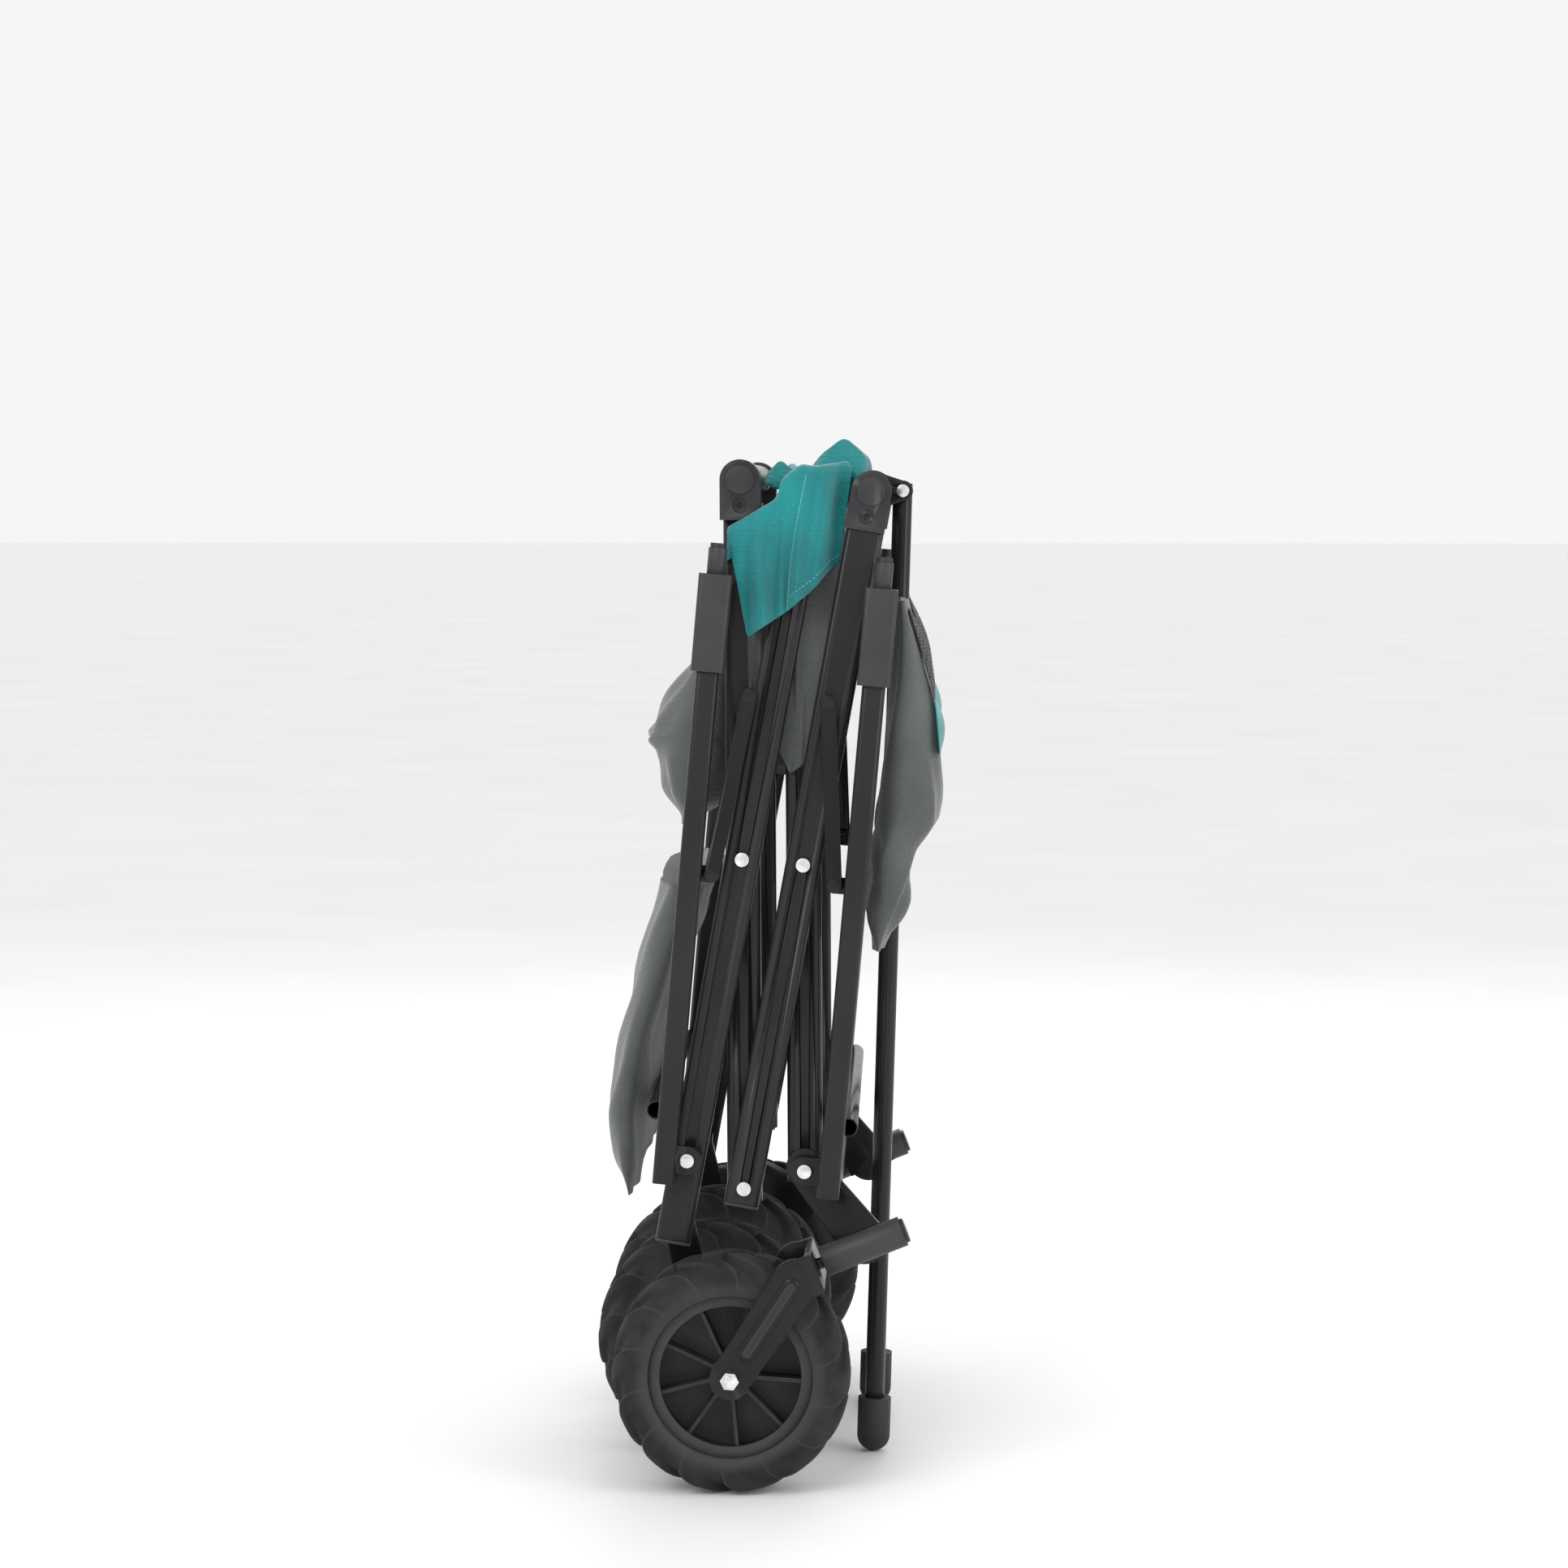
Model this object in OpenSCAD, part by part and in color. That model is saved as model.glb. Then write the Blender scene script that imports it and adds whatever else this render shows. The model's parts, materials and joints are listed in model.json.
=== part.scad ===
// Folding pet stroller wagon, folded upright: crossed side bars, corner posts, caster wheels,
// a swing-up handle whose rubber feet prop the folded frame, and soft tub fabric between the bars.

/* [Frame] */
// Lean of the folded frame towards its handle feet, in degrees
lean_deg = 5; // [3:0.5:7]
// Height of the front lower pivot above the floor
pivot_h = 272.5; // [262:0.5:285]
// Distance between the two lower pivots when folded
base_gap = 100; // [96:1:106]
// Angle of each crossed bar from the posts when folded, in degrees
fold_deg = 5.3; // [5:0.1:5.8]
// Distance from a lower pivot to the crossing rivet
cross_len = 260; // [245:1:270]
// Distance from the crossing rivet to the top rail
top_len = 321; // [300:1:330]
// Width of a crossed bar in the side plane
bar_w = 30; // [26:1:32]
// Thickness of a crossed bar across the frame
bar_t = 16; // [14:1:16]
// Wall of the steel tubes
wall = 1.5; // [1.2:0.1:2]

/* [Posts] */
// Width of a corner post in the side plane
post_w = 19; // [16:1:20]
// Height of the post's steel tube above the lower pivot
post_top = 490; // [470:5:500]
// Width of the plastic pole socket
socket_w = 28; // [24:1:28]
// Length of the plastic pole socket
socket_len = 82; // [70:1:90]
// Radius of the round pole stub above the socket
stub_r = 8; // [6:0.5:9]

/* [Wheels] */
// Outer radius of every wheel
wheel_r = 101.5; // [98:0.5:102]
// Width of every tyre
tyre_w = 72; // [60:1:74]
// Outer radius of the plastic rim
rim_r = 70; // [64:1:74]
// Number of ribs on a rim
rib_count = 9; // [6:1:12]
// Distance of a rear wheel from the middle plane
rear_wheel_y = 90; // [84:1:92]

/* [Casters] */
// Angle of the folded caster axis above the frame's forward direction, in degrees
head_deg = 26.8; // [25:0.2:28]
// Radius of the caster head housing
head_r = 13; // [12:0.5:14]
// Thickness of a fork arm
fork_t = 5; // [4:0.5:5]

/* [Handle] */
// Distance of a handle leg from the middle plane
handle_y = 98; // [95:1:100]
// Radius of the handle tube
handle_r = 8.5; // [7.5:0.5:9]
// Radius of a rubber handle foot
foot_r = 14.5; // [12:0.5:15]
// Length of a rubber handle foot
foot_len = 48; // [40:1:55]

/* [Fit] */
// Radius of the pivot pins
pin_r = 4; // [3.5:0.25:4.5]
// Radial running clearance of a pin in its bore
fit = 0.06; // [0.03:0.01:0.1]

/* [Hidden] */
$fn = 48;
// Shift along X that centres the folded model on its origin
frame_x = 36.69;
// Layers across the frame on the right side: [outer face, inner face]
post_y = [-254, -236];
outer_y = [-230.5, -214.5];
inner_y = [-213, -197];
lug_y = [-241, -236];
bracket_y = [-220, -213.2];
rivet_r = 6;
rivet_h = 3;
bore_r = pin_r + fit;
top_r = 14;
head_y = -244;
// Side-plane points are [forward, up], measured from the front lower pivot
front_base = [0, 0];
rear_base = [-base_gap, 0];
leg_len = base_gap / 2 / sin(fold_deg);
low_len = leg_len - cross_len;
function along(p, deg, len) = [p[0] + len * sin(deg), p[1] + len * cos(deg)];
rear_cross = along(rear_base, fold_deg, cross_len);
front_cross = along(front_base, -fold_deg, cross_len);
rear_top = along(rear_cross, -fold_deg, top_len);
front_top = along(front_cross, fold_deg, top_len);
mid_top = along(rear_base, fold_deg, leg_len);
mid_low = along(rear_cross, -fold_deg, -low_len);
leg_tail = 72;
end_past = 14;
// Height up the frame of a point that stands z above the floor, u forward of the front pivot
function up_at(u, z) = (z - pivot_h + u * sin(lean_deg)) / cos(lean_deg);
rear_axle_p = [-69.1, up_at(-69.1, wheel_r)];
front_axle_p = [-46.5, up_at(-46.5, wheel_r + 1)];
axle_r = 6;
bolt_r = 5;
head_p = [55.7, -58.7];
head_half = 36;
stem_r = 5;
crown_s = -41;
arm_off = 39;
function on_head(s, p) = [head_p[0] + s * cos(head_deg) - p * sin(head_deg),
                          head_p[1] + s * sin(head_deg) + p * cos(head_deg)];
rear_post_u = -118;
front_post_u = 22;
post_low = -20;
link_len = 154.9;
front_link_p = [4, 245];
rear_link_p = [-base_gap, 245];
link_deg = 7;
hinge_p = [31.7, 581];
foot_x = 57.9;
foot_p = [foot_x * cos(lean_deg) - (foot_r - pivot_h) * sin(lean_deg),
          foot_x * sin(lean_deg) + (foot_r - pivot_h) * cos(lean_deg)];
handle_deg = atan2(foot_p[0] - hinge_p[0], hinge_p[1] - foot_p[1]);
handle_len = norm(foot_p - hinge_p);
handle_past = 6.5;
joint_drop = 34;
panel_half = 185;
joint_face = -231.5;
rear_rail_half = 196;
front_rail_half = 211;

steel = "#17171a";
plastic = "#26262a";
rubber = "#2e2e31";
zinc = "#c9cacc";
cloth = "#6d7273";

// Puts a shape drawn in frame coordinates into the leaning, standing position
module stand() {
  translate([frame_x, 0, pivot_h]) rotate([0, lean_deg, 0]) children();
}

// side 0 is the right (negative Y) side as drawn, side 1 the left
module side(s) {
  mirror([0, s, 0]) children();
}

module both() {
  for (s = [0, 1]) side(s) children();
}

// Local Z runs up a bar that leans deg forward, starting at side-plane point p
module bar_at(p, deg) {
  translate([p[0], 0, p[1]]) rotate([0, deg, 0]) children();
}

// Extrudes a side-plane outline across the frame between two Y values
module plate(y) {
  translate([0, y[1], 0]) rotate([90, 0, 0]) linear_extrude(y[1] - y[0]) children();
}

module pin(p, r, y) {
  translate([p[0], y[1], p[1]]) rotate([90, 0, 0]) cylinder(h = y[1] - y[0], r = r);
}

module round_rect(w, t, r) {
  square([w - 2 * r, t], center = true);
  square([w, t - 2 * r], center = true);
  for (x = [-1, 1], y = [-1, 1]) translate([x * (w / 2 - r), y * (t / 2 - r)]) circle(r);
}

// Hollow rectangular tube with rounded corners, from z0 to z1
module box_tube(w, t, z0, z1) {
  translate([0, 0, z0]) linear_extrude(z1 - z0) difference() {
    round_rect(w, t, 4);
    round_rect(w - 2 * wall, t - 2 * wall, 4 - wall);
  }
}

// Straight-sided link with a round end at each of two points
module link_2d(p, rp, q, rq) {
  d = (q - p) / norm(q - p);
  n = [-d[1], d[0]];
  translate(p) circle(rp);
  translate(q) circle(rq);
  polygon([p + rp * n, q + rq * n, q - rq * n, p - rp * n]);
}

module rivet(p, y, face) {
  pin(p, pin_r, y);
  pin(p, rivet_r, [face - rivet_h, face]);
}

// One crossed bar with pivot bores at the listed distances from its first pivot
module cross_bar(p, deg, z0, z1, y, bores) {
  color(steel) difference() {
    bar_at(p, deg) translate([0, (y[0] + y[1]) / 2, 0]) box_tube(bar_w, bar_t, z0, z1);
    for (b = bores) pin(along(p, deg, b), bore_r, [y[0] - 1, y[1] + 1]);
  }
}

module rear_leg() {
  cross_bar(rear_base, fold_deg, -leg_tail, leg_len + end_past, outer_y, [0, cross_len, leg_len]);
}

module front_leg() {
  cross_bar(front_base, -fold_deg, -end_past, leg_len + end_past, inner_y, [0, cross_len, leg_len]);
}

module rear_arm() {
  cross_bar(rear_cross, -fold_deg, -low_len - end_past, top_len - joint_drop, inner_y,
            [-low_len, 0]);
}

module front_arm() {
  cross_bar(front_cross, fold_deg, -low_len - end_past, top_len - joint_drop, outer_y,
            [-low_len, 0]);
}

module end_plug(p, deg, y) {
  w = bar_w - 2 * wall - 0.2;
  bar_at(p, deg) translate([0, (y[0] + y[1]) / 2, 0]) {
    translate([0, 0, 0.1]) linear_extrude(7) round_rect(w, bar_t - 2 * wall - 0.2, 2.8);
    translate([0, 0, -2.4]) linear_extrude(2.4) round_rect(bar_w, bar_t, 4);
  }
}

module leg_end_plugs() {
  color(plastic) both() {
    end_plug(along(rear_base, fold_deg, -leg_tail), fold_deg, outer_y);
    end_plug(along(rear_base, fold_deg, leg_len + end_past), fold_deg + 180, outer_y);
  }
}

module arm_end_plugs() {
  color(plastic) both() end_plug(along(front_cross, fold_deg, -low_len - end_past), fold_deg, outer_y);
}

module leg_rivets() {
  color(zinc) both() {
    rivet(rear_cross, [outer_y[0], inner_y[1] + 1], outer_y[0]);
    rivet(mid_top, [outer_y[0], inner_y[1] + 1], outer_y[0]);
  }
}

module rear_arm_rivets() {
  color(zinc) both() rivet(mid_low, [outer_y[0] - 0.3, inner_y[1] + 1], outer_y[0] - 0.3);
}

module front_leg_rivets() {
  color(zinc) both() rivet(front_cross, [outer_y[0] - 0.3, inner_y[1] + 1], outer_y[0] - 0.3);
}

module rear_post_rivets() {
  color(zinc) both() {
    rivet(rear_base, [lug_y[0], outer_y[1] + 1], lug_y[0]);
    difference() {
      pin(rear_base, 7, [lug_y[1], outer_y[0] - 0.3]);
      pin(rear_base, pin_r, [lug_y[1] - 1, outer_y[0] + 1]);
    }
  }
}

module front_post_rivets() {
  color(zinc) both() {
    rivet(front_base, [lug_y[0], inner_y[1] + 1], lug_y[0]);
    difference() {
      pin(front_base, 7, [lug_y[1], bracket_y[0] - 0.3]);
      pin(front_base, pin_r, [lug_y[1] - 1, bracket_y[0] + 1]);
    }
  }
}

module axle_bracket() {
  block_y = [-209, -184];
  fold = along(rear_base, fold_deg, -58);
  plate([-214.5, block_y[0]]) translate(fold) square([22, 26], center = true);
  plate(block_y) translate(fold) square([22, 26], center = true);
  difference() {
    plate([-190, -184]) link_2d(fold, 13, rear_axle_p, 15);
    pin(rear_axle_p, axle_r + fit, [-191, -183]);
  }
}

module axle_brackets() {
  color(steel) both() axle_bracket();
}

module rear_axle() {
  color(zinc) pin(rear_axle_p, axle_r, [-191, 191]);
}

module axle_nuts() {
  color(zinc) both() difference() {
    pin(rear_axle_p, 10, [-195.5, -190.5]);
    pin(rear_axle_p, axle_r, [-191, -190]);
  }
}

module tyre(p, y) {
  half = tyre_w / 2;
  shoulder = 16;
  color(rubber) translate([p[0], y, p[1]]) rotate([90, 0, 0]) rotate_extrude($fn = 96) difference() {
    union() {
      translate([rim_r + 0.1, -half + 4]) square([wheel_r - rim_r - shoulder - 0.1, tyre_w - 8]);
      translate([rim_r, -half + shoulder]) square([wheel_r - rim_r, tyre_w - 2 * shoulder]);
      for (e = [-1, 1]) translate([wheel_r - shoulder, e * (half - shoulder)]) circle(shoulder);
    }
    translate([0, -half]) square([rim_r + 0.1, tyre_w]);
  }
}

// Dished wheel rim: barrel, web, ribs and hub, with its outer face towards negative Y
module rim(p, y, bore) {
  barrel_half = tyre_w / 2 - 7;
  color(plastic) translate([p[0], y, p[1]]) rotate([90, 0, 0]) difference() {
    union() {
      rotate_extrude($fn = 96) {
        translate([rim_r - 7, -barrel_half]) square([7, 2 * barrel_half]);
        translate([rim_r - 10, barrel_half - 4]) square([6, 4]);
        translate([bore + 2, -4]) square([rim_r - bore - 5, 6]);
        translate([bore, -barrel_half]) square([12, 2 * barrel_half]);
      }
      for (i = [0 : rib_count - 1]) rotate([0, 0, i * 360 / rib_count])
        translate([bore + 8, -1.6, 0]) cube([rim_r - bore - 13, 3.2, barrel_half - 8]);
    }
    translate([0, 0, -barrel_half - 1]) cylinder(h = 2 * barrel_half + 2, r = bore);
  }
}

module post(u, base) {
  mid_y = (post_y[0] + post_y[1]) / 2;
  reach = u < base[0] ? [u + post_w / 2 - 3, base[0]] : [base[0], u - post_w / 2 + 3];
  color(steel) difference() {
    union() {
      translate([u, mid_y, 0]) box_tube(post_w, post_y[1] - post_y[0], post_low, post_top);
      plate(lug_y) translate(base) circle(12);
      plate(lug_y) translate([reach[0], -12]) square([reach[1] - reach[0], 24]);
    }
    pin(base, bore_r, [lug_y[0] - 1, lug_y[1] + 1]);
  }
}

// Small tab on a post that carries the lower end of a link
module link_tab(u, p) {
  left = min(u, p[0]);
  y = [-239.5, -236];
  difference() {
    union() {
      plate(y) translate(p) circle(7);
      plate(y) translate([left, p[1] - 7]) square([abs(u - p[0]), 14]);
    }
    pin(p, 3 + fit, [y[0] - 1, y[1] + 1]);
  }
}

module rear_post() {
  post(rear_post_u, rear_base);
  color(steel) link_tab(rear_post_u + post_w / 2 - 1, rear_link_p);
}

module front_post() {
  post(front_post_u, front_base);
  color(steel) link_tab(front_post_u - post_w / 2 + 1, front_link_p);
}

module socket(u) {
  mid_y = (post_y[0] + post_y[1]) / 2;
  bottom = post_top - socket_len + 8;
  color(plastic) translate([u, mid_y - 1.5, 0]) difference() {
    translate([0, 0, bottom]) linear_extrude(socket_len) round_rect(socket_w, 22, 4);
    translate([0, 1.5, bottom - 1]) linear_extrude(post_top - bottom + 1.1)
      round_rect(post_w + 0.1, post_y[1] - post_y[0] + 0.1, 4);
  }
}

module pole_stub(u) {
  mid_y = (post_y[0] + post_y[1]) / 2;
  color(plastic) translate([u, mid_y, post_top + 8]) {
    cylinder(h = 22, r = stub_r);
    translate([0, 0, 22]) cylinder(h = 4, r = stub_r - 1.2);
  }
}

module post_crossbar(p) {
  color(steel) difference() {
    pin(p, 8, [post_y[1], -post_y[1]]);
    pin(p, 8 - wall, [post_y[1] - 1, 1 - post_y[1]]);
  }
}

module link_bar(p, deg) {
  y = [-246, -240];
  q = along(p, deg, link_len);
  color(steel) difference() {
    plate(y) link_2d(p, 6.5, q, 6.5);
    for (e = [p, q]) pin(e, 3 + fit, [y[0] - 1, y[1] + 1]);
  }
  color(zinc) {
    pin(p, 3, [y[0], -236.5]);
    pin(p, 5.5, [y[0] - 2.6, y[0]]);
    pin(q, 3, y);
    pin(q, 5.5, [y[0] - 2.6, y[0]]);
  }
}

// Top rail from one corner joint to the other
module top_tube(p, half) {
  color(steel) difference() {
    pin(p, top_r, [-half, half]);
    pin(p, top_r - wall, [-half - 1, half + 1]);
  }
}

// Moulded corner joint on top of a crossed bar, holding the end of the top rail
module corner_joint(p, deg, half) {
  y = [joint_face, -half];
  color(plastic) bar_at(p, deg) {
    difference() {
      union() {
        plate(y) circle(17);
        plate(y) translate([-17, -joint_drop]) square([34, joint_drop]);
      }
      pin([0, -22], 3, [y[0] - 1, y[0] + 5]);
      pin([0, -22], 6.5, [y[0] - 1, y[0] + 2]);
    }
    pin([0, 0], 12, [y[0] - 2.6, y[0]]);
  }
}

module rear_corner() {
  corner_joint(rear_top, -fold_deg, rear_rail_half);
}

module front_corner() {
  corner_joint(front_top, fold_deg, front_rail_half);
}

// Bracket from the front leg's foot to its caster head
module caster_bracket() {
  difference() {
    union() {
      plate(bracket_y) link_2d(front_base, 16, head_p, 20);
      plate([-238, bracket_y[0]]) translate(head_p) rotate(head_deg) square([44, 20], center = true);
    }
    pin(front_base, bore_r, [bracket_y[0] - 1, bracket_y[1] + 1]);
    in_head() rotate([0, 90, 0]) cylinder(h = 90, r = head_r + 0.05, center = true);
  }
}

module in_head() {
  translate([head_p[0], head_y, head_p[1]]) rotate([0, -head_deg, 0]) children();
}

module caster_housing() {
  in_head() difference() {
    union() {
      translate([-head_half, 0, 0]) rotate([0, 90, 0]) cylinder(h = 2 * head_half, r = head_r);
      translate([head_half - 6, 0, 0]) rotate([0, 90, 0]) cylinder(h = 9, r = head_r - 2.5);
    }
    translate([-head_half - 1, 0, 0]) rotate([0, 90, 0]) cylinder(h = 2 * head_half, r = stem_r + fit);
  }
}

module fork_arm_2d() {
  link_2d(on_head(crown_s - 20, 0), 19, front_axle_p, 17);
  translate(on_head(crown_s - 11, 0)) rotate(head_deg) square([20, 34], center = true);
}

module fork_body() {
  color(steel) {
    in_head() {
      translate([crown_s - 6, -arm_off - fork_t + 1, -16]) cube([6, 2 * (arm_off + fork_t - 1), 32]);
      translate([crown_s - 3, 0, 0]) rotate([0, 90, 0]) cylinder(h = 33 - crown_s, r = stem_r);
    }
    for (y = [head_y - arm_off - fork_t, head_y + arm_off]) difference() {
      plate([y, y + fork_t]) fork_arm_2d();
      pin(front_axle_p, bolt_r + fit, [y - 1, y + fork_t + 1]);
    }
  }
}

module fork_bolt() {
  ends = [head_y - arm_off - fork_t, head_y + arm_off + fork_t];
  color(zinc) {
    pin(front_axle_p, bolt_r, [ends[0] - 7, ends[1] + 3]);
    for (y = [ends[0] - 5, ends[1]]) difference() {
      translate([front_axle_p[0], y + (y < head_y ? 5 : 3), front_axle_p[1]]) rotate([90, 0, 0])
        cylinder(h = y < head_y ? 5 : 3, r = 8, $fn = 6);
      pin(front_axle_p, bolt_r - 0.5, [y - 1, y + 6]);
    }
  }
}

module handle_leg() {
  bar_at(hinge_p, -handle_deg) translate([0, -handle_y, 0]) difference() {
    translate([0, 0, -handle_len + 2]) cylinder(h = handle_len - 2 + handle_past, r = handle_r);
    translate([0, 0, -handle_len + 1]) cylinder(h = handle_len - 20, r = handle_r - wall);
    rotate([90, 0, 0]) cylinder(h = 30, r = 3 + fit, center = true);
  }
}

module handle_rung(down) {
  bar_at(hinge_p, -handle_deg) translate([0, 0, -down]) rotate([90, 0, 0])
    cylinder(h = 2 * (handle_y - handle_r) + 2, r = 7, center = true);
}

module handle_frame() {
  color(steel) {
    both() handle_leg();
    for (down = [60, handle_len - 70]) handle_rung(down);
  }
}

module handle_feet() {
  color(rubber) both() bar_at(hinge_p, -handle_deg) translate([0, -handle_y, -handle_len]) difference() {
    union() {
      sphere(foot_r);
      cylinder(h = foot_len - foot_r, r = foot_r);
    }
    translate([0, 0, 1.9]) cylinder(h = foot_len, r = handle_r + 0.05);
  }
}

module handle_bolts() {
  color(zinc) both() {
    pin(hinge_p, 3, [-handle_y - 14, -handle_y + 14]);
    for (y = [-handle_y - 17, -handle_y + 14]) pin(hinge_p, 5.5, [y, y + 3]);
  }
}

module handle_brackets() {
  color(steel) both() for (y = [-handle_y - 14, -handle_y + 10]) difference() {
    plate([y, y + 4]) link_2d(front_top, 18, hinge_p, 9);
    pin(front_top, top_r + 0.05, [y - 1, y + 5]);
    pin(hinge_p, 3 + fit, [y - 1, y + 5]);
  }
}

// Soft storage pocket behind the rear posts
module rear_pocket() {
  color(cloth) plate([-165, 165])
    polygon([[-141, 190], [-156, 190], [-170, 90], [-177, 30], [-168, -18], [-150, -33], [-141, -30]]);
}

// Gathered tub fabric under the rear rail
module rear_panel() {
  color(cloth) plate([-panel_half, panel_half])
    polygon([[-118, 345], [-118, 530], [-98, 556], [-60, 545], [-52, 520], [-52, 350]]);
}

// Gathered tub fabric under the front rail
module front_panel() {
  color(cloth) plate([-panel_half, panel_half])
    polygon([[18, 345], [18, 530], [-2, 556], [-40, 545], [-48, 520], [-48, 350]]);
}

// Soft bags at the front, one each side of the handle legs
module front_bags() {
  color(cloth) both() plate([-panel_half, -handle_y - 16])
    polygon([[52, 470], [68, 455], [84, 330], [80, 240], [66, 200], [56, 215], [52, 330]]);
}

stand() rear_axle();
stand() axle_nuts();
stand() side(0) rear_leg();  // rear_leg_right
stand() side(1) rear_leg();  // rear_leg_left
stand() axle_brackets();
stand() leg_end_plugs();
stand() leg_rivets();
stand() tyre(rear_axle_p, -rear_wheel_y);  // rear_tyre_right
stand() rim(rear_axle_p, -rear_wheel_y, axle_r + fit);  // rear_rim_right
stand() side(1) tyre(rear_axle_p, -rear_wheel_y);  // rear_tyre_left
stand() side(1) rim(rear_axle_p, -rear_wheel_y, axle_r + fit);  // rear_rim_left
stand() side(0) rear_post();  // rear_post_right
stand() side(1) rear_post();  // rear_post_left
stand() post_crossbar([-130, 40]);  // rear_post_crossbar
stand() both() socket(rear_post_u);  // rear_sockets
stand() both() pole_stub(rear_post_u);  // rear_pole_stubs
stand() rear_post_rivets();
stand() rear_pocket();
stand() both() link_bar(rear_link_p, link_deg);  // rear_links
stand() side(0) rear_arm();  // rear_arm_right
stand() side(1) rear_arm();  // rear_arm_left
stand() top_tube(rear_top, rear_rail_half);  // rear_top_tube
stand() both() rear_corner();  // rear_corner_joints
stand() rear_arm_rivets();
stand() rear_panel();
stand() front_panel();
stand() front_bags();
stand() side(0) front_leg();  // front_leg_right
stand() side(1) front_leg();  // front_leg_left
stand() color(steel) both() caster_bracket();  // caster_brackets
stand() color(plastic) both() caster_housing();  // caster_housings
stand() color(steel) pin([25, -30], 8, [bracket_y[1], -bracket_y[1]]);  // front_leg_crossbar
stand() front_leg_rivets();
stand() side(0) front_arm();  // front_arm_right
stand() side(1) front_arm();  // front_arm_left
stand() top_tube(front_top, front_rail_half);  // front_top_tube
stand() both() front_corner();  // front_corner_joints
stand() arm_end_plugs();
stand() handle_brackets();
stand() side(0) front_post();  // front_post_right
stand() side(1) front_post();  // front_post_left
stand() post_crossbar([34, 40]);  // front_post_crossbar
stand() both() socket(front_post_u);  // front_sockets
stand() both() pole_stub(front_post_u);  // front_pole_stubs
stand() front_post_rivets();
stand() both() link_bar(front_link_p, -link_deg);  // front_links
stand() handle_frame();
stand() handle_feet();
stand() handle_bolts();
stand() side(0) fork_body();  // fork_right
stand() side(0) fork_bolt();  // fork_bolt_right
stand() side(1) fork_body();  // fork_left
stand() side(1) fork_bolt();  // fork_bolt_left
stand() tyre(front_axle_p, head_y);  // front_tyre_right
stand() rim(front_axle_p, head_y, bolt_r + fit);  // front_rim_right
stand() side(1) tyre(front_axle_p, head_y);  // front_tyre_left
stand() side(1) rim(front_axle_p, head_y, bolt_r + fit);  // front_rim_left
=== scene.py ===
"""Looks for the folded pet stroller wagon: steel, plastic, tyres with lugs, and the tub fabric."""
import json
import math

import bmesh
import bpy
import numpy as np
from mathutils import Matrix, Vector

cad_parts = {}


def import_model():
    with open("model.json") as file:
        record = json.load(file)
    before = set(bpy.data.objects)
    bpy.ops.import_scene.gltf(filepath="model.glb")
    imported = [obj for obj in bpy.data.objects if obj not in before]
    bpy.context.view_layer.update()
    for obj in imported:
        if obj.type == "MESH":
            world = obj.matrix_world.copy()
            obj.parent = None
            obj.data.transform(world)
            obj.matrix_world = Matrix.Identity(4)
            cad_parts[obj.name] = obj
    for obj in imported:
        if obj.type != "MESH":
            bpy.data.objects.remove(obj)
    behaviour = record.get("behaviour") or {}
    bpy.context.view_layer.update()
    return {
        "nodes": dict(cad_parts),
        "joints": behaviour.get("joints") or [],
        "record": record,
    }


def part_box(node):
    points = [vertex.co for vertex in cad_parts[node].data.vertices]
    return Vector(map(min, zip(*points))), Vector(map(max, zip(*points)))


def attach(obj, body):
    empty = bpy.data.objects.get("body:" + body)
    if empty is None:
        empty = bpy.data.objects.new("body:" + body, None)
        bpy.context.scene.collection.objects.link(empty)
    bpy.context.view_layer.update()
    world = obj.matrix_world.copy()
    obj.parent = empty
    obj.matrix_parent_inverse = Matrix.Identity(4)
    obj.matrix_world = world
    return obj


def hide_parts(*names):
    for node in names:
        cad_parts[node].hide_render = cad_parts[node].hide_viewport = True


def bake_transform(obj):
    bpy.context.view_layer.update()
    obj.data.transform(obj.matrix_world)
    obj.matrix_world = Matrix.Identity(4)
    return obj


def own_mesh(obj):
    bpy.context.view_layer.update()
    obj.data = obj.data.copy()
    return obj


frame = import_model()

# ---------------------------------------------------------------- places
JOINTS = {j["name"]: j for j in frame["joints"]}
PIVOT = Vector(JOINTS["front_post_pivot"]["pos_m"])
UP = -Vector(JOINTS["front_bag_drop"]["axis"]).normalized()
FORWARD = Vector(JOINTS["tub_stretch"]["axis"]).normalized()
ACROSS = Vector((0, 1, 0))
MM = 0.001
SIDES = {"right": -1, "left": 1}


def place(forward, across, up):
    """World point from millimetres along the leaning frame, measured from the front lower pivot."""
    return PIVOT + (FORWARD * forward + ACROSS * across + UP * up) * MM


# ---------------------------------------------------------------- materials
def new_material(name, colour, roughness, metallic=0.0):
    mat = bpy.data.materials.new(name)
    mat.use_nodes = True
    shader = mat.node_tree.nodes["Principled BSDF"]
    shader.inputs["Base Color"].default_value = (*colour, 1)
    shader.inputs["Roughness"].default_value = roughness
    shader.inputs["Metallic"].default_value = metallic
    return mat, mat.node_tree, shader


def noise(tree, scale, detail=4.0, stretch=(1, 1, 1)):
    """Noise fixed to the object's own coordinates, stretched along an axis if asked."""
    coords = tree.nodes.new("ShaderNodeTexCoord")
    mapping = tree.nodes.new("ShaderNodeMapping")
    mapping.inputs["Scale"].default_value = stretch
    texture = tree.nodes.new("ShaderNodeTexNoise")
    texture.inputs["Scale"].default_value = scale
    texture.inputs["Detail"].default_value = detail
    tree.links.new(coords.outputs["Object"], mapping.inputs["Vector"])
    tree.links.new(mapping.outputs["Vector"], texture.inputs["Vector"])
    return texture.outputs["Fac"]


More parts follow.
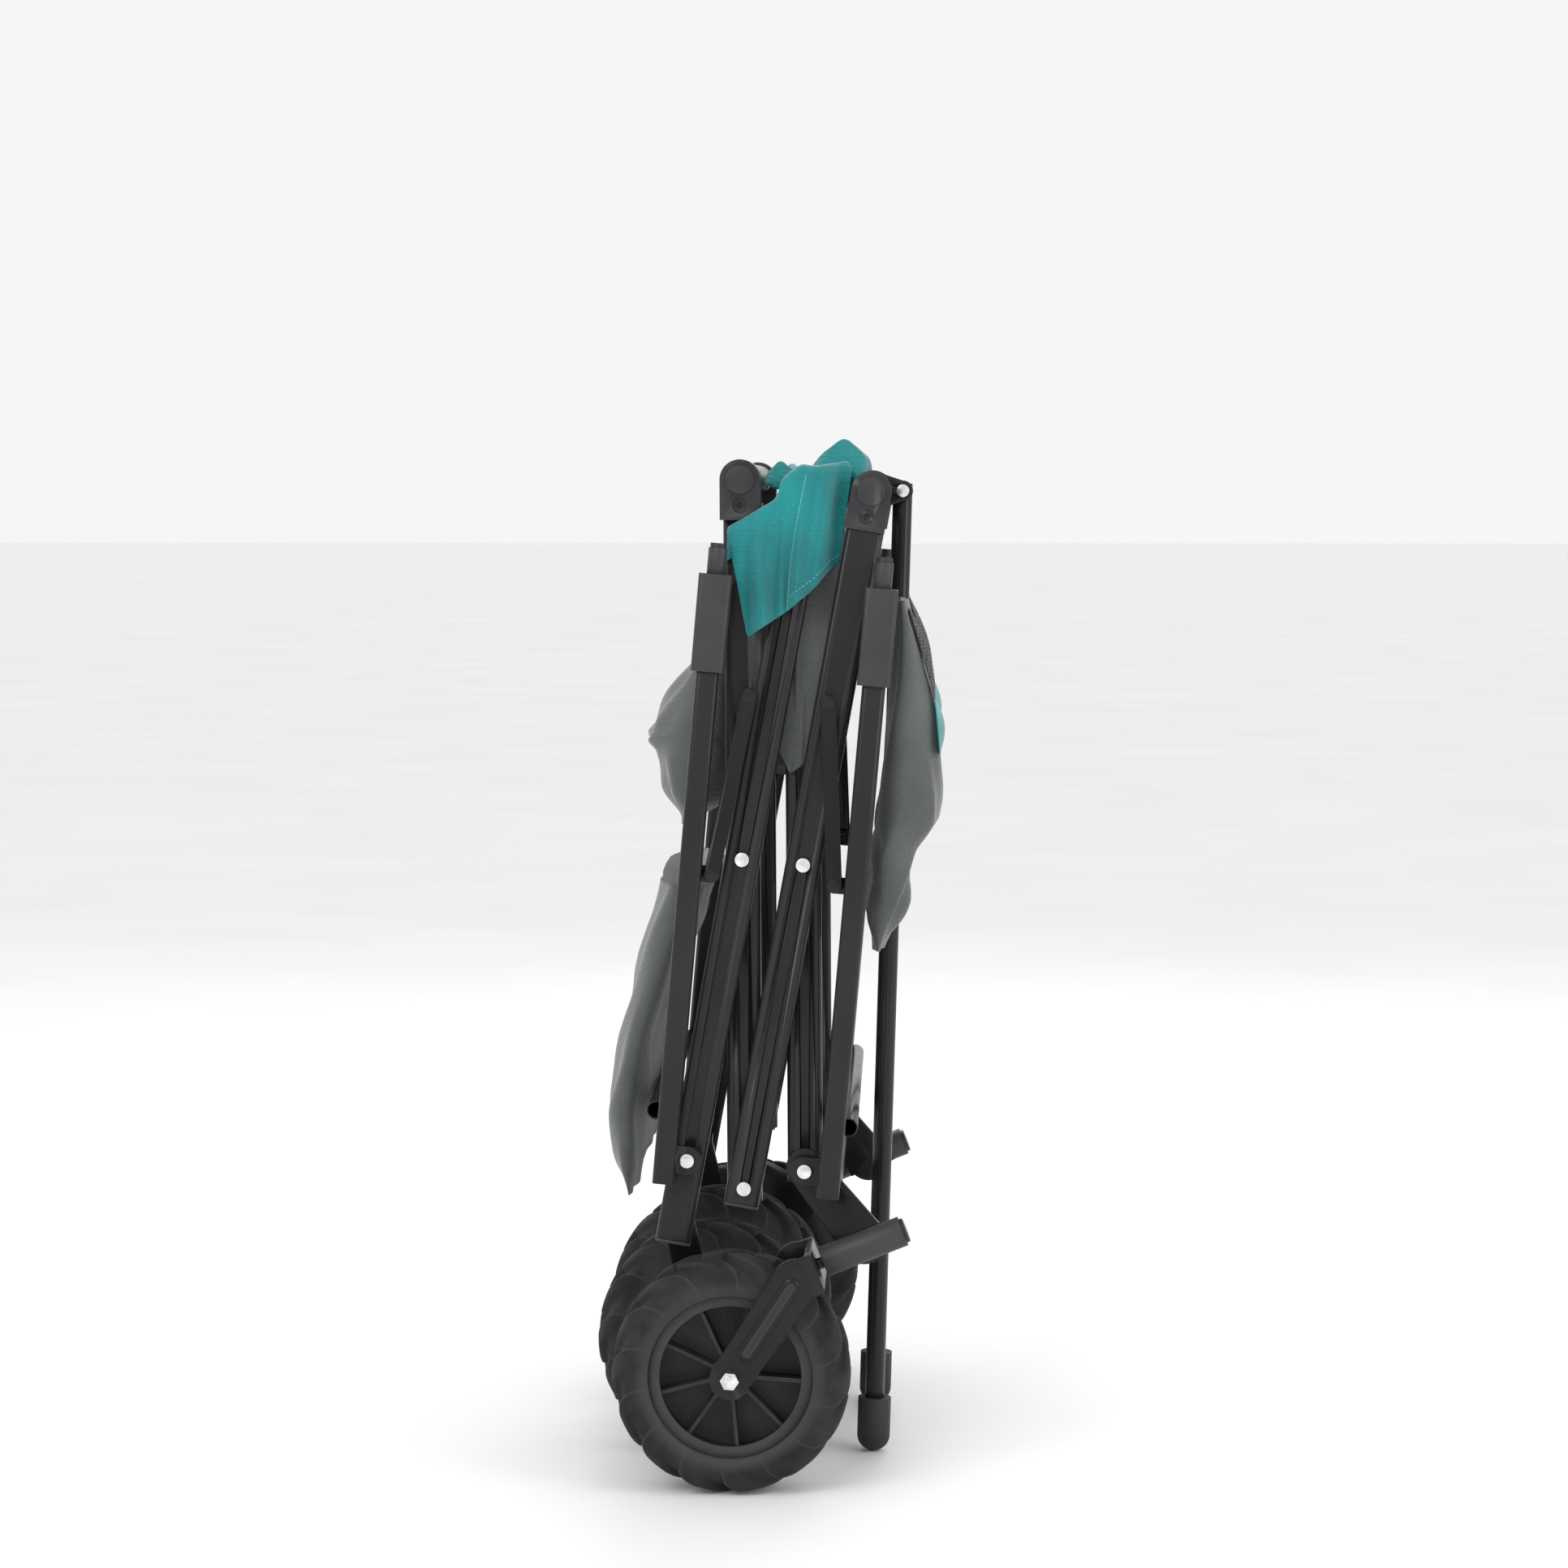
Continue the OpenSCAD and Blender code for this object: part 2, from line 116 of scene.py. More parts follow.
def ramp(tree, factor, low, high, start=0.35, end=0.65):
    node = tree.nodes.new("ShaderNodeValToRGB")
    node.color_ramp.elements[0].position = start
    node.color_ramp.elements[1].position = end
    node.color_ramp.elements[0].color = (*low, 1)
    node.color_ramp.elements[1].color = (*high, 1)
    tree.links.new(factor, node.inputs["Fac"])
    return node.outputs["Color"]


def spread(tree, factor, low, high):
    node = tree.nodes.new("ShaderNodeMapRange")
    node.inputs["To Min"].default_value = low
    node.inputs["To Max"].default_value = high
    tree.links.new(factor, node.inputs["Value"])
    return node.outputs["Result"]


def bump(tree, shader, height, distance, strength=0.5):
    node = tree.nodes.new("ShaderNodeBump")
    node.inputs["Distance"].default_value = distance
    node.inputs["Strength"].default_value = strength
    tree.links.new(height, node.inputs["Height"])
    tree.links.new(node.outputs["Normal"], shader.inputs["Normal"])


def worn_edges(tree, colour, edge_colour):
    """Mixes a lighter colour in where an edge has been rubbed."""
    geometry = tree.nodes.new("ShaderNodeNewGeometry")
    mask = ramp(tree, geometry.outputs["Pointiness"], (0, 0, 0), (1, 1, 1), 0.52, 0.60)
    mix = tree.nodes.new("ShaderNodeMixRGB")
    mix.inputs["Color2"].default_value = (*edge_colour, 1)
    tree.links.new(mask, mix.inputs["Fac"])
    tree.links.new(colour, mix.inputs["Color1"])
    return mix.outputs["Color"]


def painted_steel():
    mat, tree, shader = new_material("black_painted_steel", (0.006, 0.006, 0.007), 0.3)
    shader.inputs["Specular IOR Level"].default_value = 0.22
    shader.inputs["Coat Weight"].default_value = 0.12
    shader.inputs["Coat Roughness"].default_value = 0.1
    tint = ramp(tree, noise(tree, 9), (0.004, 0.004, 0.005), (0.009, 0.009, 0.011))
    tree.links.new(worn_edges(tree, tint, (0.03, 0.03, 0.033)), shader.inputs["Base Color"])
    tree.links.new(spread(tree, noise(tree, 35), 0.22, 0.38), shader.inputs["Roughness"])
    bump(tree, shader, noise(tree, 260, 2), 0.0004, 0.25)
    return mat


def moulded_plastic(name, low, high, roughness):
    mat, tree, shader = new_material(name, low, roughness)
    shader.inputs["Specular IOR Level"].default_value = 0.28
    tint = ramp(tree, noise(tree, 25), low, high)
    tree.links.new(worn_edges(tree, tint, (0.07, 0.07, 0.073)), shader.inputs["Base Color"])
    tree.links.new(spread(tree, noise(tree, 60), roughness - 0.07, roughness + 0.08),
                   shader.inputs["Roughness"])
    bump(tree, shader, noise(tree, 1400, 3), 0.0003, 0.35)
    return mat


def tyre_rubber():
    mat, tree, shader = new_material("tyre_rubber", (0.03, 0.03, 0.032), 0.75)
    shader.inputs["Specular IOR Level"].default_value = 0.25
    tint = ramp(tree, noise(tree, 30, 6), (0.012, 0.012, 0.013), (0.026, 0.026, 0.028))
    tree.links.new(worn_edges(tree, tint, (0.05, 0.05, 0.05)), shader.inputs["Base Color"])
    tree.links.new(spread(tree, noise(tree, 90), 0.6, 0.85), shader.inputs["Roughness"])
    bump(tree, shader, noise(tree, 900, 4), 0.0004, 0.5)
    return mat


def bright_zinc():
    mat, tree, shader = new_material("zinc_hardware", (0.78, 0.78, 0.80), 0.28, 1.0)
    tint = ramp(tree, noise(tree, 120), (0.62, 0.62, 0.64), (0.86, 0.86, 0.87))
    tree.links.new(tint, shader.inputs["Base Color"])
    tree.links.new(spread(tree, noise(tree, 400, 3), 0.2, 0.36), shader.inputs["Roughness"])
    bump(tree, shader, noise(tree, 700, 2, (1, 8, 1)), 0.0001, 0.3)
    return mat


def thread(tree, direction, pitch):
    """Soft ridges along one direction. One ridge along Z takes four pitches, a diagonal one eight."""
    coords = tree.nodes.new("ShaderNodeTexCoord")
    wave = tree.nodes.new("ShaderNodeTexWave")
    wave.bands_direction = direction
    wave.inputs["Scale"].default_value = 1 / (pitch * 20 / math.pi * 2)
    wave.inputs["Distortion"].default_value = 0.6
    wave.inputs["Detail"].default_value = 1.0
    tree.links.new(coords.outputs["Object"], wave.inputs["Vector"])
    return wave.outputs["Fac"]


def woven(name, low, high, pitch=0.0011):
    """Woven polyester: crossed ridges, a cloudy colour and a soft sheen."""
    mat, tree, shader = new_material(name, low, 0.8)
    shader.inputs["Sheen Weight"].default_value = 0.35
    shader.inputs["Sheen Roughness"].default_value = 0.45
    weave = tree.nodes.new("ShaderNodeMath")
    weave.operation = "ADD"
    tree.links.new(thread(tree, "DIAGONAL", pitch), weave.inputs[0])
    tree.links.new(thread(tree, "Z", pitch), weave.inputs[1])
    cloud = ramp(tree, noise(tree, 14, 5), low, high, 0.3, 0.7)
    grain = ramp(tree, noise(tree, 1100, 2), (0.72, 0.72, 0.72), (1.0, 1.0, 1.0), 0.3, 0.7)
    mix = tree.nodes.new("ShaderNodeMixRGB")
    mix.blend_type = "MULTIPLY"
    mix.inputs["Fac"].default_value = 1.0
    tree.links.new(cloud, mix.inputs["Color1"])
    tree.links.new(grain, mix.inputs["Color2"])
    tree.links.new(mix.outputs["Color"], shader.inputs["Base Color"])
    bump(tree, shader, weave.outputs["Value"], 0.0004, 0.45)
    return mat


def open_mesh():
    """Black net whose small holes are mostly see-through."""
    mat, tree, shader = new_material("black_open_mesh", (0.012, 0.012, 0.013), 0.5)
    coords = tree.nodes.new("ShaderNodeTexCoord")
    cells = tree.nodes.new("ShaderNodeTexVoronoi")
    cells.feature = "DISTANCE_TO_EDGE"
    cells.inputs["Scale"].default_value = 330
    cells.inputs["Randomness"].default_value = 0.25
    tree.links.new(coords.outputs["Object"], cells.inputs["Vector"])
    tree.links.new(ramp(tree, cells.outputs["Distance"], (1, 1, 1), (0.25, 0.25, 0.25), 0.12, 0.2),
                   shader.inputs["Alpha"])
    bump(tree, shader, cells.outputs["Distance"], 0.0006, 0.6)
    return mat


PLASTIC_LOW, PLASTIC_HIGH = (0.018, 0.018, 0.020), (0.030, 0.030, 0.033)
RUBBER_LOW, RUBBER_HIGH = (0.020, 0.020, 0.022), (0.032, 0.032, 0.034)
RIM_LOW, RIM_HIGH = (0.020, 0.020, 0.022), (0.034, 0.034, 0.037)
GREY_LOW, GREY_HIGH = (0.070, 0.076, 0.078), (0.120, 0.128, 0.131)
TEAL_LOW, TEAL_HIGH = (0.0, 0.165, 0.175), (0.0, 0.270, 0.278)
MATERIALS = {
    "black_steel": painted_steel(),
    "black_plastic": moulded_plastic("black_moulded_plastic", PLASTIC_LOW, PLASTIC_HIGH, 0.42),
    "tyre": tyre_rubber(),
    "rubber": moulded_plastic("black_rubber", RUBBER_LOW, RUBBER_HIGH, 0.65),
    "zinc_hardware": bright_zinc(),
    "grey_fabric": woven("grey_woven_fabric", GREY_LOW, GREY_HIGH),
    "teal_fabric": woven("teal_woven_fabric", TEAL_LOW, TEAL_HIGH),
    "black_mesh": open_mesh(),
}
RIM_PLASTIC = moulded_plastic("rim_plastic", RIM_LOW, RIM_HIGH, 0.45)
THREAD = {
    "teal": woven("teal_thread", (0.08, 0.52, 0.54), (0.14, 0.62, 0.64), 0.0004),
    "grey": woven("grey_thread", (0.40, 0.42, 0.42), (0.55, 0.57, 0.57), 0.0004),
}


# ---------------------------------------------------------------- CAD parts
EDGE_ROUNDING = 0.0007
WELD_DISTANCE = 0.00002
SHARP_DEGREES = 35


def finish_cad_nodes():
    """Softens the edges of every hard CAD part and gives it its material."""
    slots = {part["node"]: part["material_slot"] for part in frame["record"]["subparts"]}
    for name, node in frame["nodes"].items():
        material = RIM_PLASTIC if "_rim_" in name else MATERIALS[slots[name]]
        node.data.materials.clear()
        node.data.materials.append(material)
        weld = node.modifiers.new("weld", "WELD")
        weld.merge_threshold = WELD_DISTANCE
        bevel = node.modifiers.new("bevel", "BEVEL")
        bevel.width = EDGE_ROUNDING
        bevel.segments = 2
        bevel.limit_method = "ANGLE"
        bevel.angle_limit = math.radians(SHARP_DEGREES)
        bevel.harden_normals = True
        for polygon in node.data.polygons:
            polygon.use_smooth = True


finish_cad_nodes()


# ---------------------------------------------------------------- mesh helpers
def add_object(name, vertices, faces, material):
    mesh = bpy.data.meshes.new(name)
    mesh.from_pydata([tuple(v) for v in vertices], [], faces)
    mesh.update()
    mesh.materials.append(material)
    for polygon in mesh.polygons:
        polygon.use_smooth = True
    obj = bpy.data.objects.new(name, mesh)
    bpy.context.scene.collection.objects.link(obj)
    return obj


def outward(obj):
    """Turns every face of a closed mesh outwards."""
    work = bmesh.new()
    work.from_mesh(obj.data)
    bmesh.ops.recalc_face_normals(work, faces=work.faces)
    work.to_mesh(obj.data)
    work.free()


def grid_faces(columns, rows, wrap=False):
    """Quads of a grid whose points run along the rows first. wrap joins the last row to the first."""
    last = rows if wrap else rows - 1
    return [
        (r * columns + c, r * columns + c + 1,
         (r + 1) % rows * columns + c + 1, (r + 1) % rows * columns + c)
        for r in range(last) for c in range(columns - 1)
    ]


def curve(knots, value):
    """Smooth value of a list of (position, number) knots."""
    xs, ys = zip(*knots)
    soft = np.linspace(-0.03, 0.03, 5)
    return float(np.mean(np.interp(value + soft * (xs[-1] - xs[0]), xs, ys)))


def apply_modifiers(obj):
    bpy.context.view_layer.update()
    final = bpy.data.meshes.new_from_object(obj.evaluated_get(bpy.context.evaluated_depsgraph_get()))
    obj.modifiers.clear()
    obj.data = final


CLOTH_THICKNESS = 0.0009


def cloth(name, point, slot, columns=90, rows=90):
    """Thin sheet through point(s, t), both from 0 to 1. Gives the piece, its area and its width."""
    vertices = [point(c / (columns - 1), r / (rows - 1)) for r in range(rows) for c in range(columns)]
    obj = add_object(name, vertices, grid_faces(columns, rows), MATERIALS[slot])
    area = sum(p.area for p in obj.data.polygons)
    grid = np.array([tuple(v) for v in vertices]).reshape(rows, columns, 3)
    width = np.linalg.norm(np.diff(grid, axis=1), axis=2).sum(1).max()
    thicken = obj.modifiers.new("thickness", "SOLIDIFY")
    thicken.thickness = CLOTH_THICKNESS
    thicken.offset = 0
    apply_modifiers(obj)
    return obj, area, width


def tub_blend(piece):
    """Bakes the placement of fabric that spans the wagon from its rear panel to its front panel into its
    mesh.
    """
    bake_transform(piece)


def bump_wave(x, centre, width):
    """Smooth bump of height 1 round a centre."""
    return math.exp(-((x - centre) / width) ** 2)


# ---------------------------------------------------------------- teal collar
COLLAR_TOP = [(0, (-113, 530)), (0.28, (-73, 558)), (0.38, (-70, 576)), (0.5, (-55, 589)),
              (0.65, (-43, 588)), (0.9, (-17, 595)), (1, (-12, 589))]
COLLAR_LOW = [(0, (-88, 447)), (0.4, (-57, 471)), (0.7, (-35, 493)), (0.85, (-25, 508)), (1, (-16, 517))]
COLLAR_INNER = 213.2
# The collar steps outwards from the inner layer of bars, softly, behind this place along the frame
STEP_OUT, STEP_AT, STEP_SOFTNESS = 23.3, -27, 3.2
# Each fold's height, and its centre and width as shares of the collar's length
COLLAR_FOLDS = [(13, 0.17, 0.07), (3, 0.36, 0.04), (10, 0.52, 0.07)]


def along_edge(edge, s):
    """Forward and up of an edge at the share s of its length."""
    return [curve([(k, p[i]) for k, p in edge], s) for i in (0, 1)]


def collar_depth(forward, s, t):
    """How far out the collar hangs: outside the bars at the rear, and between their layers in front."""
    step = 1 / (1 + math.exp((forward - STEP_AT) / STEP_SOFTNESS))
    base = COLLAR_INNER + STEP_OUT * step
    folds = sum(height * bump_wave(s, centre, width) for height, centre, width in COLLAR_FOLDS)
    ripple = 2.0 * math.sin(24 * s + 3 * t) * step
    return base + (folds * (0.25 + 0.75 * t) + abs(ripple)) * step


# Share of the sheet that hangs outside. The rest rolls over the top and drops inside.
OVER_TOP = 0.78
ROLL_DEPTH, ROLL_RISE = 9, 7
INNER_DROP, INNER_DRIFT = 45, 4


def collar_point(side):
    def point(s, t):
        top, low = along_edge(COLLAR_TOP, s), along_edge(COLLAR_LOW, s)
        rise = min(t / OVER_TOP, 1.0)
        forward = low[0] + (top[0] - low[0]) * rise
        up = low[1] + (top[1] - low[1]) * rise
        depth = collar_depth(forward, s, 1 - rise)
        if t > OVER_TOP:
            turn = (t - OVER_TOP) / (1 - OVER_TOP)
            bend = min(turn * 2, 1) * math.pi
            depth -= ROLL_DEPTH * (1 - math.cos(bend)) + INNER_DRIFT * turn
            up += ROLL_RISE * math.sin(bend) - INNER_DROP * max(turn - 0.5, 0)
        return place(forward, side * depth, up)
    return point


def loft_arch(side, feet, peak, height, depth_near, depth_far):
    """Open-ended fold of cloth: an arch seen from the side, running inwards and sinking."""
    def point(s, t):
        lift = math.sin(math.pi * s) ** 0.55
        sink = min(1, t / 0.28) ** 0.7 * (1 - 0.45 * t ** 1.5)
        lean = (peak - (feet[0] + feet[1]) / 2) * lift
        forward = feet[0] + (feet[1] - feet[0]) * s + lean + 1.5 * math.sin(9 * t + 5 * s)
        up = feet[2] + height * lift * sink + 1.2 * math.sin(14 * s + 4 * t)
        return place(forward, side * (depth_near + (depth_far - depth_near) * t), up)
    return point


STITCH_CORNERS = 6
# Places along a stitch and its thickness there, as shares of its length and radius
STITCH_PROFILE = ((-0.5, 0.3), (-0.3, 1), (0.3, 1), (0.5, 0.3))


def stitches(name, path, colour, pitch=4.2, length=2.7, radius=0.42):
    """Row of short raised threads along a list of points. Sizes are in millimetres."""
    vertices, faces = [], []
    travelled = 0.0
    for start, end in zip(path, path[1:]):
        step = (end - start).length / MM
        travelled += step
        if travelled < pitch:
            continue
        travelled = 0.0
        direction = (end - start).normalized()
        centre = (start + end) / 2
        side_a = direction.orthogonal().normalized()
        side_b = direction.cross(side_a)
        first = len(vertices)
        for offset, size in STITCH_PROFILE:
            for corner in range(STITCH_CORNERS):
                angle = corner * 2 * math.pi / STITCH_CORNERS
                ring = side_a * math.cos(angle) + side_b * math.sin(angle)
                vertices.append(centre + (direction * offset * length + ring * radius * size) * MM)
        last = first + (len(STITCH_PROFILE) - 1) * STITCH_CORNERS
        for ring in range(first, last, STITCH_CORNERS):
            for corner in range(STITCH_CORNERS):
                a, b = ring + corner, ring + (corner + 1) % STITCH_CORNERS
                faces.append((a, b, b + STITCH_CORNERS, a + STITCH_CORNERS))
        faces.append(tuple(first + c for c in reversed(range(STITCH_CORNERS))))
        faces.append(tuple(last + c for c in range(STITCH_CORNERS)))
    obj = add_object(name, vertices, faces, THREAD[colour])
    return obj


def proud(point, s, t, side, lift=0.7):
    """Point of a sheet, lifted outwards off its surface."""
    return point(s, t) + ACROSS * side * lift * MM


SEAM_STEPS = 240
HEM_START, HEM_LENGTH, HEM_HEIGHT = 0.42, 0.56, 0.075


def make_collar(name, side):
    point = collar_point(side)
    piece, area, width = cloth("collar_" + name, point, "teal_fabric")
    tub_blend(piece)
    steps = range(SEAM_STEPS + 1)
    hem = [proud(point, HEM_START + HEM_LENGTH * k / SEAM_STEPS, HEM_HEIGHT, side) for k in steps]
    seam = [proud(point, HEM_START + 0.14 * (k / SEAM_STEPS) ** 1.6, 0.76 * k / SEAM_STEPS, side, 0.5)
            for k in steps]
    tub_blend(stitches("collar_hem_stitches_" + name, hem, "teal"))
    tub_blend(stitches("collar_seam_stitches_" + name, seam, "teal", 1.6, 1.5, 0.5))
    arches = {
        "hump": loft_arch(side, (-47, -1, 588), -19, 33, 209, 150),
        "fold": loft_arch(side, (-86, -54, 574), -72, 23, 190, 140),
    }
    for label, arch in arches.items():
        piece, area, width = cloth(f"collar_{label}_{name}", arch, "teal_fabric", 60, 40)
        tub_blend(piece)


for side_name, side_sign in SIDES.items():
    make_collar(side_name, side_sign)


# ---------------------------------------------------------------- grey tub fabric
SIDE_TOP = [(0, (-96, 505)), (0.5, (-56, 520)), (1, (-8, 545))]
SIDE_LOW = [(0, (-80, 371)), (0.2, (-70, 384)), (0.5, (-42, 333)), (0.8, (-24, 350)), (1, (0, 346))]


SIDE_DEPTH = 213.8


def side_point(side):
    def point(s, t):
        top, low = along_edge(SIDE_TOP, s), along_edge(SIDE_LOW, s)
        forward = low[0] + (top[0] - low[0]) * t
        up = low[1] + (top[1] - low[1]) * t
        free = bump_wave(s, 0.12, 0.09) + bump_wave(s, 0.56, 0.08)
        fold = 3.0 * math.sin(30 * s + 7 * t) + 1.6 * math.sin(52 * s - 5 * t)
        return place(forward, side * (SIDE_DEPTH + max(0, fold) * free), up)
    return point


WALL_HALF = 188
WALL_FORWARD, WALL_TOP, WALL_DROP = -15, 560, 210
FLOOR_REAR, FLOOR_RUN, FLOOR_UP, FLOOR_SAG = -84, 68, 354, 22


def front_wall_point(s, t):
    """Gathered front wall of the tub, hanging behind the front rail."""
    across = (2 * s - 1) * WALL_HALF
    fold = 2.6 * math.sin(across / 15 + 3 * t) + 1.4 * math.sin(across / 7 - 6 * t)
    return place(WALL_FORWARD + fold * (0.3 + 0.7 * t), across,
                 WALL_TOP - WALL_DROP * t + 2 * math.sin(across / 21))


def tub_floor_point(s, t):
    """Floor of the tub, which hangs as a shallow fold between the two ends when folded."""
    across = (2 * s - 1) * WALL_HALF
    sag = FLOOR_SAG * math.sin(math.pi * t) + 1.6 * math.sin(across / 13 + 4 * t)
    return place(FLOOR_REAR + FLOOR_RUN * t, across, FLOOR_UP - sag)


def make_tub():
    for name, side in SIDES.items():
        piece, area, width = cloth("tub_side_" + name, side_point(side), "grey_fabric")
        tub_blend(piece)
        if side < 0:
            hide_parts("front_panel")
    piece, area, width = cloth("tub_front_wall", front_wall_point, "grey_fabric", 120, 60)
    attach(piece, "front_panel")
    piece, area, width = cloth("tub_floor", tub_floor_point, "grey_fabric", 110, 50)
    tub_blend(piece)


make_tub()


# ---------------------------------------------------------------- lofted bags
def bag(name, inner, outer, across, slot, crease, columns=72, rows=80):
    """Closed cloth bag. inner and outer give its forward limits at each height, across its two sides."""
    middle, half = (across[0] + across[1]) / 2, abs(across[1] - across[0]) / 2
    low, high = inner[0][0], inner[-1][0]
    vertices = []
    for r in range(rows):
        up = low + (high - low) * r / (rows - 1)
        near, far = curve(inner, up), curve(outer, up)
        close = min(1.0, math.sin(math.pi * min(0.5, (r + 0.6) / (rows * 0.22))))
        for c in range(columns):
            angle = 2 * math.pi * c / columns
            round_x = math.copysign(abs(math.cos(angle)) ** 0.75, math.cos(angle))
            round_y = math.copysign(abs(math.sin(angle)) ** 0.4, math.sin(angle))
            forward = (near + far) / 2 + (far - near) / 2 * round_x * (0.35 + 0.65 * close)
            forward += crease(math.sin(angle), up) * max(0, abs(round_x) - 0.1)
            vertices.append(place(forward, middle + half * round_y * (0.93 + 0.07 * close), up))
    faces = [
        (r * columns + c, r * columns + (c + 1) % columns,
         (r + 1) * columns + (c + 1) % columns, (r + 1) * columns + c)
        for r in range(rows - 1) for c in range(columns)
    ]
    faces.append(tuple(reversed(range(columns))))
    faces.append(tuple((rows - 1) * columns + c for c in range(columns)))
    obj = add_object(name, vertices, faces, MATERIALS[slot])
    outward(obj)
    return obj


def pocket_crease(turn, up):
    return 2.2 * math.sin(11 * turn + up / 22) + 1.6 * math.sin(up / 13 + 4 * turn)


def bag_crease(turn, up):
    low = bump_wave(up, 235, 45)
    return 2.5 * math.sin(up / 24 + 6 * turn) + 4.0 * low * math.sin(9 * turn - up / 11)


POCKET_IN = [(-45, -146), (-18, -143), (30, -141), (90, -139), (150, -125), (190, -113), (228, -104)]
POCKET_OUT = [(-45, -152), (-18, -168), (30, -178), (90, -171), (150, -162), (190, -155), (228, -148)]
POCKET_LIMITS = (-192, 192)
pocket = bag("rear_pocket_fabric", POCKET_IN, POCKET_OUT, POCKET_LIMITS, "grey_fabric", pocket_crease)
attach(pocket, "rear_posts")
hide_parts("rear_pocket")

# Slack tub fabric that sags out behind the rear posts
BELLY_IN = [(279, -128), (295, -96), (330, -86), (400, -86), (450, -92), (520, -96), (558, -98)]
BELLY_OUT = [(279, -134), (301, -151), (330, -161), (358, -168), (385, -158), (422, -134),
             (470, -121), (558, -112)]
BELLY_LIMITS = (-194, 194)


def belly_crease(turn, up):
    crease = 7 * bump_wave(up, 352 + 6 * math.sin(4 * turn), 5)
    return 2.6 * math.sin(13 * turn + up / 19) + 2.2 * math.sin(up / 14 - 7 * turn) - crease


belly = bag("rear_belly", BELLY_IN, BELLY_OUT, BELLY_LIMITS, "grey_fabric", belly_crease, 110, 110)
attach(belly, "rear_panel")
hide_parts("rear_panel")
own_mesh(belly)

BAG_IN = [(191, 40), (215, 34), (300, 36), (400, 37), (489, 36)]
BAG_OUT = [(191, 50), (205, 57), (232, 65), (270, 66), (286, 72), (296, 87), (326, 88),
           (410, 73), (489, 42)]
BAG_NEAR, BAG_FAR = 116, 232
SHEET_NEAR, SHEET_WIDTH, SHEET_LIFT = 150, 76, 1.5
BAND_LOW, BAND_HIGH, NET_HIGH = 362, 408, 482


def outside_bag(side, low, high, lift):
    """Sheet that lies on the bag's outer face between two heights."""
    def point(s, t):
        up = low + (high - low) * t
        swell = 6 * math.sin(math.pi * s) * math.sin(math.pi * t)
        return place(curve(BAG_OUT, up) + lift + swell, side * (SHEET_NEAR + SHEET_WIDTH * s), up)
    return point


def make_front_bag(name, side):
    limits = (side * BAG_NEAR, side * BAG_FAR)
    body = bag("front_bag_" + name, BAG_IN, BAG_OUT, limits, "grey_fabric", bag_crease)
    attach(body, "front_bags")
    if side < 0:
        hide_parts("front_bags")
    net_point = outside_bag(side, BAND_HIGH, NET_HIGH, SHEET_LIFT)
    net, area, width = cloth("net_pocket_" + name, net_point, "black_mesh", 50, 50)
    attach(net, "front_bags")
    band_point = outside_bag(side, BAND_LOW, BAND_HIGH, SHEET_LIFT)
    band, area, width = cloth("teal_band_" + name, band_point, "teal_fabric", 50, 30)
    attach(band, "front_bags")


for side_name, side_sign in SIDES.items():
    make_front_bag(side_name, side_sign)


# ---------------------------------------------------------------- tyres
LUGS = 14
LUG_HEIGHT = 0.0068
TYRE_SEAT = 0.070
# Start and end of a lug, as shares of one pitch, and how steeply its walls rise
LUG_START, LUG_END, LUG_STEEPNESS = 0.14, 0.66, 16
# Half widths of the middle groove and of the tread, as shares of the tyre's half width
GROOVE_HALF, TREAD_HALF = 0.05, 0.985


def tyre(name, body):
    """Solid tyre with curved chevron lugs, made round its CAD node's own centre and size."""
    low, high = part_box(name)
    centre = (low + high) / 2
    radius = (high.z - low.z) / 2
    half = (high.y - low.y) / 2
    around, across = 504, 72
    vertices = []
    for a in range(around):
        angle = 2 * math.pi * a / around
        for c in range(across):
            t = 2 * c / (across - 1) - 1
            crown = (1 - abs(t) ** 4.2) ** 0.42
            base = TYRE_SEAT + (radius - LUG_HEIGHT - TYRE_SEAT) * crown
            phase = (a / around * LUGS + 0.95 * abs(t) ** 1.6 + (0.5 if t > 0 else 0)) % 1
            edge = min(phase - LUG_START, LUG_END - phase) * LUG_STEEPNESS
            gap = min(1, max(0, (abs(t) - GROOVE_HALF) * 14))
            shoulder = min(1, max(0, (TREAD_HALF - abs(t)) * 16))
            lug = LUG_HEIGHT * min(1, max(0, edge)) * gap * shoulder
            reach = base + lug
            vertices.append(centre + Vector((reach * math.cos(angle), t * half, reach * math.sin(angle))))
    faces = grid_faces(across, around, wrap=True)
    faces += [(r * across, (r + 1) % around * across, (r + 1) % around * across + across - 1,
               r * across + across - 1) for r in range(around)]
    obj = add_object(name + "_tread", vertices, faces, MATERIALS["tyre"])
    outward(obj)
    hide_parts(name)
    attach(obj, body)


WHEELS = {
    "rear_tyre_right": "rear_wheel_right",
    "rear_tyre_left": "rear_wheel_left",
    "front_tyre_right": "front_wheel_right",
    "front_tyre_left": "front_wheel_left",
}
for node_name, body_name in WHEELS.items():
    tyre(node_name, body_name)


